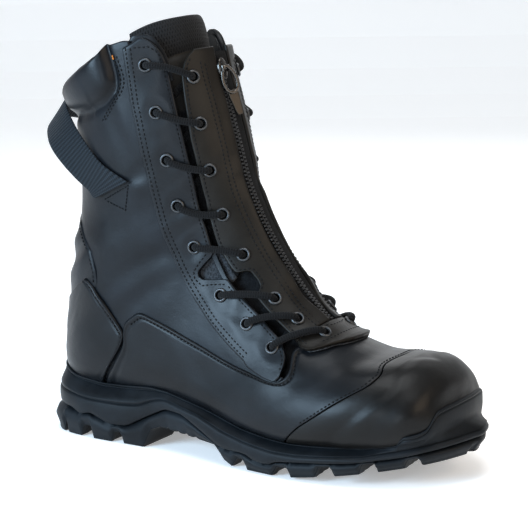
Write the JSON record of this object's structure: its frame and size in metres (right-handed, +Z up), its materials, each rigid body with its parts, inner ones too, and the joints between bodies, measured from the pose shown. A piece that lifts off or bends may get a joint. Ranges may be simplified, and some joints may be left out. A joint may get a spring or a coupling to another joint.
{
  "type": "firefighter boot",
  "caption": "Tall black leather safety boot with a lace-in zip panel, padded collar, heel pull loop, toe guard and a lugged rubber sole.",
  "frame": {"origin": "on the floor under the middle of the sole's length and width", "axes": "+X toward the toe, +Y toward the inner side of the foot, +Z up"},
  "size_m": [0.308, 0.1119, 0.2784],
  "materials": {
    "outsole_rubber": "matt moulded",
    "midsole_rubber": "matt moulded",
    "insole_cloth": "felted",
    "shaft_leather": "waxed smooth",
    "vamp_leather": "waxed smooth",
    "panel_leather": "waxed smooth",
    "tongue_cloth": "padded mesh",
    "zip_cloth": "woven tape",
    "zip_teeth": "moulded",
    "zip_metal": "black nickel",
    "eyelet_metal": "gunmetal lacquer",
    "lace_cord": "braided",
    "webbing": "ribbed weave"
  },
  "bodies": {
    "boot": {"outsole": "outsole_rubber", "midsole": "midsole_rubber", "insole": "insole_cloth", "upper": "shaft_leather", "tongue": "tongue_cloth", "toe_cap": "vamp_leather", "vamp": "vamp_leather", "heel_counter": "vamp_leather", "zip_panel": "panel_leather", "zip_tape": "zip_cloth", "zip_chain": "zip_teeth", "zip_slider": "zip_metal", "pull_loop": "webbing", "facing_lateral": "shaft_leather", "facing_medial": "shaft_leather", "lace_lateral": "lace_cord", "lace_medial": "lace_cord", "eyelet_facing_lateral_1": "eyelet_metal", "eyelet_facing_lateral_2": "eyelet_metal", "eyelet_facing_lateral_3": "eyelet_metal", "eyelet_facing_lateral_4": "eyelet_metal", "eyelet_facing_lateral_5": "eyelet_metal", "eyelet_facing_lateral_6": "eyelet_metal", "eyelet_facing_lateral_7": "eyelet_metal", "eyelet_facing_lateral_8": "eyelet_metal", "eyelet_panel_lateral_1": "eyelet_metal", "eyelet_panel_lateral_2": "eyelet_metal", "eyelet_panel_lateral_3": "eyelet_metal", "eyelet_panel_lateral_4": "eyelet_metal", "eyelet_panel_lateral_5": "eyelet_metal", "eyelet_panel_lateral_6": "eyelet_metal", "eyelet_panel_lateral_7": "eyelet_metal", "eyelet_panel_lateral_8": "eyelet_metal", "eyelet_facing_medial_1": "eyelet_metal", "eyelet_facing_medial_2": "eyelet_metal", "eyelet_facing_medial_3": "eyelet_metal", "eyelet_facing_medial_4": "eyelet_metal", "eyelet_facing_medial_5": "eyelet_metal", "eyelet_facing_medial_6": "eyelet_metal", "eyelet_facing_medial_7": "eyelet_metal", "eyelet_facing_medial_8": "eyelet_metal", "eyelet_panel_medial_1": "eyelet_metal", "eyelet_panel_medial_2": "eyelet_metal", "eyelet_panel_medial_3": "eyelet_metal", "eyelet_panel_medial_4": "eyelet_metal", "eyelet_panel_medial_5": "eyelet_metal", "eyelet_panel_medial_6": "eyelet_metal", "eyelet_panel_medial_7": "eyelet_metal", "eyelet_panel_medial_8": "eyelet_metal"},
    "zip_pull": {"zip_pull": "zip_metal"}
  },
  "joints": [
    {"name": "zip_pull_hinge", "type": "hinge", "parent": "boot", "child": "zip_pull", "pos_m": [-0.01585, 0, 0.24084], "axis": [0, -1, 0], "range_deg": [0, 150]}
  ]
}
